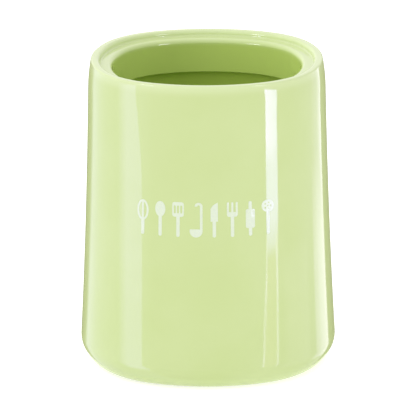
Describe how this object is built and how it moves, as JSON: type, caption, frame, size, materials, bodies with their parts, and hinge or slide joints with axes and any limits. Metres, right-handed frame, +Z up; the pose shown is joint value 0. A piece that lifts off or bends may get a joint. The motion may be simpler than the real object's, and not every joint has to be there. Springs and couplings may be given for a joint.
{
  "type": "utensil crock",
  "caption": "Free-standing glazed ceramic crock for kitchen tools, a soft square seen from above, with a waisted wall, a ring set inside its open mouth and a white print of small kitchen tools on its front.",
  "frame": {"origin": "middle of the foot, on the surface that the crock stands on", "axes": "+Z up along the crock's axis, -Y towards the front that carries the print, +X to the right seen from the front"},
  "size_m": [0.1286, 0.1286, 0.155],
  "materials": {
    "green_glaze": "gloss",
    "white_print": "gloss"
  },
  "bodies": {
    "root": {"crock_body": "green_glaze", "mouth_ring": "green_glaze", "print_whisk": "white_print", "print_spoon": "white_print", "print_turner": "white_print", "print_ladle": "white_print", "print_knife": "white_print", "print_fork": "white_print", "print_rolling_pin": "white_print", "print_skimmer": "white_print"}
  },
  "joints": []
}
